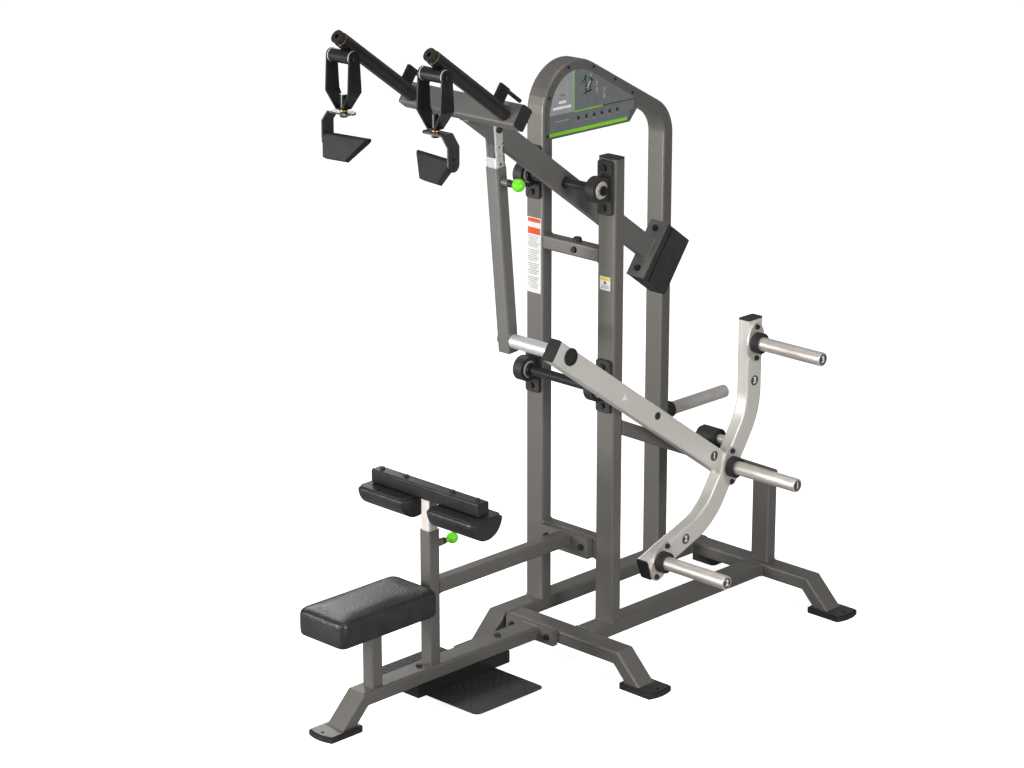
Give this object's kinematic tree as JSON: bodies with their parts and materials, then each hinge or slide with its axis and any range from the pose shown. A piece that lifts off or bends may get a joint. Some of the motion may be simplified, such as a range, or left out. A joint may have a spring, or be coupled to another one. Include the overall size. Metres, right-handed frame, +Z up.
{
  "type": "lat pulldown machine",
  "caption": "Plate-loaded lever machine with a seat, adjustable thigh pads, swivelling hand grips and a counterweighted arm.",
  "frame": {"origin": "middle of the footprint's bounding box, on the floor", "axes": "+X across the machine towards the weight lever, -Y towards the seat where the user sits facing +Y, +Z up"},
  "size_m": [0.903, 2.303, 2.315],
  "materials": {
    "frame_paint": "satin metallic warm dark grey powder coat",
    "arm_paint": "satin metallic dark grey powder coat",
    "lever_paint": "satin light warm silver paint",
    "bright_steel": "brushed bright steel",
    "chrome": "polished",
    "black_paint": "gloss black",
    "black_rubber": "matte",
    "black_plastic": "fine moulded grain",
    "cast_black": "textured black coat",
    "vinyl": "grained black vinyl",
    "lime_plastic": "gloss lime green",
    "bronze": "sintered bronze",
    "fastener": "black oxide",
    "dark_steel": "dark clear coated steel",
    "grip_plastic": "fine moulded grain",
    "tread_steel": "black raised pattern"
  },
  "bodies": {
    "frame": {"side_rails": "frame_paint", "cross_members": "frame_paint", "rear_brace": "frame_paint", "right_post": "frame_paint", "frame_caps": "black_plastic", "arch_tube": "frame_paint", "post_crossbars": "frame_paint", "centre_rail": "frame_paint", "flange_plates": "frame_paint", "seat_post": "frame_paint", "seat_pad": "vinyl", "thigh_post": "frame_paint", "thigh_brace": "frame_paint", "foot_plates": "dark_steel", "rubber_feet": "black_rubber", "foot_rest_channel": "black_paint", "tread_plate": "tread_steel", "placard": "frame_paint", "bearing_housings": "cast_black", "bearing_inserts": "bright_steel", "frame_bolts": "fastener", "storage_horn": "bright_steel", "storage_collar": "black_rubber"},
    "upper_shaft": {"upper_shaft": "black_paint"},
    "arm": {"main_arm": "arm_paint", "arm_crossbar": "arm_paint", "arm_caps": "black_plastic", "counterweight": "cast_black", "counterweight_bolts": "fastener", "handle_bushings": "bronze"},
    "handle_l": {"handle_tube_l": "black_paint"},
    "handle_r": {"handle_tube_r": "black_paint"},
    "yoke_l": {"yoke_l": "black_paint", "swivel_bolt_l": "fastener"},
    "yoke_r": {"yoke_r": "black_paint", "swivel_bolt_r": "fastener"},
    "grip_l": {"grip_bracket_l": "dark_steel", "grip_l": "grip_plastic"},
    "grip_r": {"grip_bracket_r": "dark_steel", "grip_r": "grip_plastic"},
    "link_pin": {"link_hinge_pin": "dark_steel"},
    "link_inner": {"link_inner_tube": "chrome"},
    "link_sleeve": {"link_sleeve": "arm_paint"},
    "link_knob": {"link_knob": "lime_plastic"},
    "lever": {"lever_tube": "lever_paint", "cross_tube": "chrome", "lower_shaft": "black_paint", "curved_tube": "lever_paint", "lever_caps": "black_plastic", "weight_horns": "bright_steel", "horn_collars": "black_rubber", "horn_flanges": "bright_steel", "horn_bolts": "fastener", "lever_bumper": "black_rubber"},
    "thigh_rest": {"thigh_inner_post": "bright_steel", "pad_bar": "black_paint", "thigh_pad_l": "vinyl", "thigh_pad_r": "vinyl", "pad_bolts": "fastener"},
    "thigh_knob": {"thigh_knob": "lime_plastic"}
  },
  "joints": [
    {"name": "arm_adjust", "type": "hinge", "parent": "frame", "child": "upper_shaft", "pos_m": [-0.1545, 0.0145, 1.708], "axis": [1, 0, 0], "range_deg": [-11, 11]},
    {"name": "arm_hinge", "type": "hinge", "parent": "upper_shaft", "child": "arm", "pos_m": [-0.1545, 0.0145, 1.708], "axis": [1, 0, 0], "range_deg": [0, 50]},
    {"name": "lever_hinge", "type": "hinge", "parent": "frame", "child": "lever", "pos_m": [-0.1545, 0.0145, 1.002], "axis": [1, 0, 0], "range_deg": [0, 61.5]},
    {"name": "link_tilt", "type": "hinge", "parent": "arm", "child": "link_pin", "pos_m": [-0.1545, -0.31439, 1.9452], "axis": [1, 0, 0], "range_deg": [-8, 8]},
    {"name": "link_hinge", "type": "hinge", "parent": "link_pin", "child": "link_inner", "pos_m": [-0.1545, -0.31439, 1.9452], "axis": [1, 0, 0], "range_deg": [-49, 0]},
    {"name": "link_adjust", "type": "slide", "parent": "link_inner", "child": "link_sleeve", "axis": [0, 0.0901, -0.9959], "range_m": [-0.06, 0.06]},
    {"name": "link_pin_pull", "type": "slide", "parent": "link_sleeve", "child": "link_knob", "axis": [1, 0, 0], "range_m": [0, 0.012], "stiffness_N_per_m": 800, "springref_m": -0.005},
    {"name": "handle_roll_l", "type": "hinge", "parent": "arm", "child": "handle_l", "pos_m": [-0.3685, -0.47438, 2.05073], "axis": [0, -0.8111, 0.585], "range_deg": [-33, 33]},
    {"name": "yoke_swing_l", "type": "hinge", "parent": "handle_l", "child": "yoke_l", "pos_m": [-0.3685, -0.79012, 2.22667], "axis": [1, 0, 0], "range_deg": [-75, 35]},
    {"name": "grip_swivel_l", "type": "hinge", "parent": "yoke_l", "child": "grip_l", "pos_m": [-0.3685, -0.79012, 2.04467], "axis": [0, 0, 1], "continuous": true},
    {"name": "handle_roll_r", "type": "hinge", "parent": "arm", "child": "handle_r", "pos_m": [0.0595, -0.47438, 2.05073], "axis": [0, -0.8111, 0.585], "range_deg": [-33, 33]},
    {"name": "yoke_swing_r", "type": "hinge", "parent": "handle_r", "child": "yoke_r", "pos_m": [0.0595, -0.79012, 2.22667], "axis": [1, 0, 0], "range_deg": [-75, 35]},
    {"name": "grip_swivel_r", "type": "hinge", "parent": "yoke_r", "child": "grip_r", "pos_m": [0.0595, -0.79012, 2.04467], "axis": [0, 0, 1], "continuous": true},
    {"name": "thigh_adjust", "type": "slide", "parent": "frame", "child": "thigh_rest", "axis": [0, 0, 1], "range_m": [-0.075, 0.1]},
    {"name": "thigh_pin_pull", "type": "slide", "parent": "frame", "child": "thigh_knob", "axis": [0, 1, 0], "range_m": [0, 0.012], "stiffness_N_per_m": 800, "springref_m": -0.005}
  ],
  "couplings": [
    {"joint": "lever_hinge", "follows": "arm_hinge", "ratio": 1.22},
    {"joint": "link_hinge", "follows": "arm_hinge", "ratio": -0.965},
    {"joint": "link_tilt", "follows": "arm_adjust", "ratio": -0.65},
    {"joint": "link_adjust", "follows": "arm_adjust", "m_per_rad": -0.305}
  ]
}
